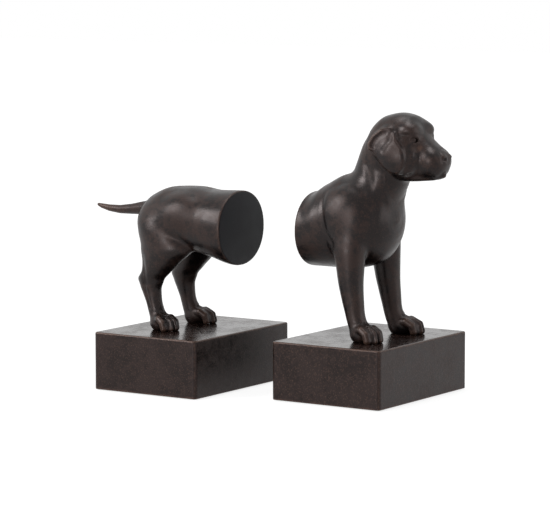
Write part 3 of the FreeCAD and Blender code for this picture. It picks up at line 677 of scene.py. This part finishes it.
wool, tree, shader, where = finish("wool_felt", Specular_IOR_Level=0.2, Sheen_Weight=0.35, Sheen_Roughness=0.6)
swirl = node(tree, "TexNoise", {"Vector": where, "Scale": 1 / (4 * MM), "Detail": 1.0}).outputs["Color"]
bent = vectors(tree, "MULTIPLY_ADD", {0: swirl, 1: (0.005,) * 3, 2: where})
fibres = [node(tree, "TexNoise", {"Vector": node(tree, "Mapping", {"Vector": bent, "Scale": scale}).outputs[0],
                                  "Scale": 1 / (0.25 * MM), "Detail": 2.0}).outputs[0]
          for scale in ((0.12, 1.0, 1.0), (1.0, 0.12, 1.0))]
hairs = maths(tree, "MAXIMUM", *fibres)
shadow, nap = (0.009, 0.010, 0.010, 1), (0.042, 0.044, 0.042, 1)
tree.links.new(mixed(tree, between(tree, hairs, 0.45, 0.70), shadow, nap), shader.inputs["Base Color"])
tree.links.new(between(tree, hairs, 0.4, 0.7, 0.98, 0.85), shader.inputs["Roughness"])
bumped(tree, shader, hairs, 0.18)


def felt_pad(end):
    """A knife-cut pad: rings from the middle of one face, round the edge, to the middle of the other."""
    low, high = [Vector(c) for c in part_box(end + "_felt")]
    middle = (low + high) / 2
    corner, count = 2.5 * MM, 360           # radius of the corners, and steps round the edge
    fray = 0.0035                           # share of the width that the rim is frayed
    wide = Vector(((high.x - low.x) / 2, (high.y - low.y) / 2))
    thick = high.z - low.z
    spots = []
    for k in range(count):
        turn = 2 * math.pi * k / count
        ray = Vector((math.cos(turn), math.sin(turn)))
        stretch = min(wide[i] / max(abs(ray[i]), 1e-9) for i in (0, 1))
        spot = ray * stretch
        inner = Vector([max(-wide[i] + corner, min(wide[i] - corner, spot[i])) for i in (0, 1)])
        reach = (spot - inner).length
        spots.append(inner + (spot - inner) * (min(reach, corner) / reach if reach > 0 else 1))
    # shares of the width and of the thickness, from the under side to the upper
    profile = [(0.35, 0.0), (0.7, 0.0), (0.92, 0.0), (0.985, 0.02), (0.995, 0.15), (1.0, 0.5),
               (0.995, 0.85), (0.985, 0.98), (0.92, 1.0), (0.7, 1.0), (0.35, 1.0)]
    points, faces = [], []
    for share, up in profile:
        for k, spot in enumerate(spots):
            tooth = 0.5 + 0.5 * math.sin(k * 1.7) * math.sin(k * 0.37 + 9 * up)
            ragged = 1 - fray * (share > 0.95) * tooth
            points.append((middle.x + spot.x * share * ragged, middle.y + spot.y * share * ragged,
                           low.z + thick * up))
    for row in range(len(profile) - 1):
        for k in range(count):
            a, b = row * count + k, row * count + (k + 1) % count
            faces.append((a, b, b + count, a + count))
    points += [(middle.x, middle.y, low.z), (middle.x, middle.y, high.z)]
    last = (len(profile) - 1) * count
    for k in range(count):
        faces.append((len(points) - 2, (k + 1) % count, k))
        faces.append((len(points) - 1, last + k, last + (k + 1) % count))
    mesh = bpy.data.meshes.new(end + "_felt_pad")
    mesh.from_pydata(points, [], faces)
    mesh.shade_smooth()
    mesh.materials.append(wool)
    pad = bpy.data.objects.new(end + "_felt_pad", mesh)
    bpy.context.scene.collection.objects.link(pad)
    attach(pad, end + "_bookend")
    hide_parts(end + "_felt")


for end in ENDS:
    felt_pad(end)

# ============================================================ floor, light and camera
# A plain white studio: a pale floor that keeps a faint shadow, four soft lamps, and the camera.


def lamp(name, place, aim, size, power):
    """Rectangular soft lamp, with its sides in metres and its power in watts."""
    data = bpy.data.lights.new(name, "AREA")
    data.shape, data.size, data.size_y, data.energy = "RECTANGLE", size[0], size[1], power
    one = bpy.data.objects.new(name, data)
    one.location = place
    one.rotation_euler = (Vector(place) - Vector(aim)).to_track_quat("Z", "Y").to_euler()
    bpy.context.scene.collection.objects.link(one)


centre = Vector((0.05, 0.0, 0.08))
lamp("left_softbox", (-0.75, -0.85, 0.75), centre, (0.5, 0.7), 14.5)
lamp("top_softbox", (0.1, 0.1, 1.3), centre, (0.7, 0.7), 9)
lamp("front_softbox", (0.0, -1.7, 0.35), centre, (0.35, 0.5), 11)
lamp("right_softbox", (1.2, 0.4, 0.5), centre, (0.8, 1.1), 6)

# white where it is seen or mirrored, and dim as a light on the iron
world = bpy.data.worlds.new("studio")
bpy.context.scene.world = world
world.use_nodes = True
tree = world.node_tree
tree.nodes.clear()
path = node(tree, "LightPath").outputs
seen = maths(tree, "MAXIMUM", path["Is Camera Ray"], path["Is Glossy Ray"])
seen = maths(tree, "MAXIMUM", seen, path["Is Transmission Ray"])
level = node(tree, "MapRange", {"Value": seen, "To Min": 0.2, "To Max": 1.0}).outputs[0]
sky = node(tree, "Background", {"Color": (1, 1, 1, 1), "Strength": level})
node(tree, "OutputWorld", {0: sky.outputs[0]})

floor_mesh = bpy.data.meshes.new("floor")
reach = 4.0                  # half the floor's side, m
floor_corners = [(-reach, -reach, 0), (reach, -reach, 0), (reach, reach, 0), (-reach, reach, 0)]
floor_mesh.from_pydata(floor_corners, [], [(0, 1, 2, 3)])
floor = bpy.data.objects.new("floor", floor_mesh)
bpy.context.scene.collection.objects.link(floor)
# paper that glows where it is seen or mirrored, more so far away, and else gives back a little light
paper = bpy.data.materials.new("white_paper")
paper.use_nodes = True
tree = paper.node_tree
tree.nodes.clear()
path = node(tree, "LightPath").outputs
seen = maths(tree, "MAXIMUM", path["Is Camera Ray"], path["Is Glossy Ray"])
far = node(tree, "VectorMath", {0: node(tree, "TexCoord").outputs["Object"]}, operation="LENGTH").outputs["Value"]
glow = node(tree, "Emission", {"Strength": between(tree, far, 0.4, 1.3, 0.8, 1.0)}).outputs[0]
shaded = node(tree, "BsdfDiffuse", {"Color": (0.3, 0.3, 0.3, 1)}).outputs[0]
matt = node(tree, "BsdfDiffuse", {"Color": (0.45, 0.45, 0.45, 1)}).outputs[0]
bright = node(tree, "AddShader", {0: glow, 1: shaded}).outputs[0]
node(tree, "OutputMaterial", {0: node(tree, "MixShader", {0: seen, 1: matt, 2: bright}).outputs[0]})
floor_mesh.materials.append(paper)

camera_data = bpy.data.cameras.new("camera")
camera = bpy.data.objects.new("camera", camera_data)
bpy.context.scene.collection.objects.link(camera)
azimuth, elevation = math.radians(33.3), math.radians(6.53)
back = Vector((math.sin(azimuth) * math.cos(elevation), -math.cos(azimuth) * math.cos(elevation),
               math.sin(elevation)))
camera.location = (1.00459, -1.43881, 0.27935)
camera.rotation_euler = back.to_track_quat("Z", "Y").to_euler()
camera_data.lens = 192.24
camera_data.sensor_width = 36
bpy.context.scene.camera = camera
bpy.context.scene.view_settings.view_transform = "Standard"
